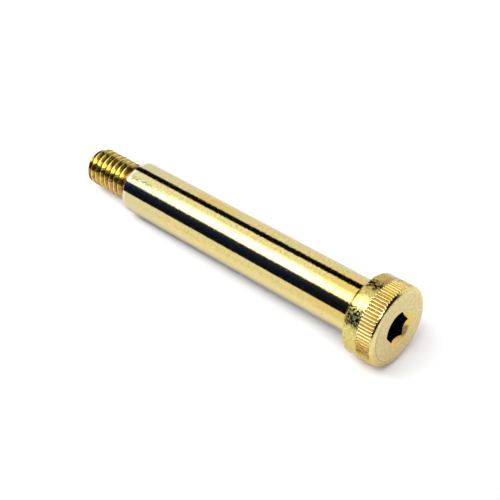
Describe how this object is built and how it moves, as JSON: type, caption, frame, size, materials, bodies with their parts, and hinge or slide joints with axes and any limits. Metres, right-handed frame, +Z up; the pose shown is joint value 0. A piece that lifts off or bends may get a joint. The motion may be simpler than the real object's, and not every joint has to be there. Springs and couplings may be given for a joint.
{
  "type": "shoulder bolt",
  "caption": "Socket head shoulder bolt with a knurled head, a long ground shoulder and a short thread, lying at rest.",
  "frame": {"origin": "on the table the bolt lies on, below the middle of its length", "axes": "+X towards the socket in the head, +Z up, with the bolt's axis sloping down by 2.5 degrees towards the thread"},
  "size_m": [0.093, 0.0186, 0.0189],
  "materials": {
    "yellow_zinc": "yellow zinc plate on ground steel"
  },
  "bodies": {
    "root": {"shoulder_bolt": "yellow_zinc"}
  },
  "joints": []
}
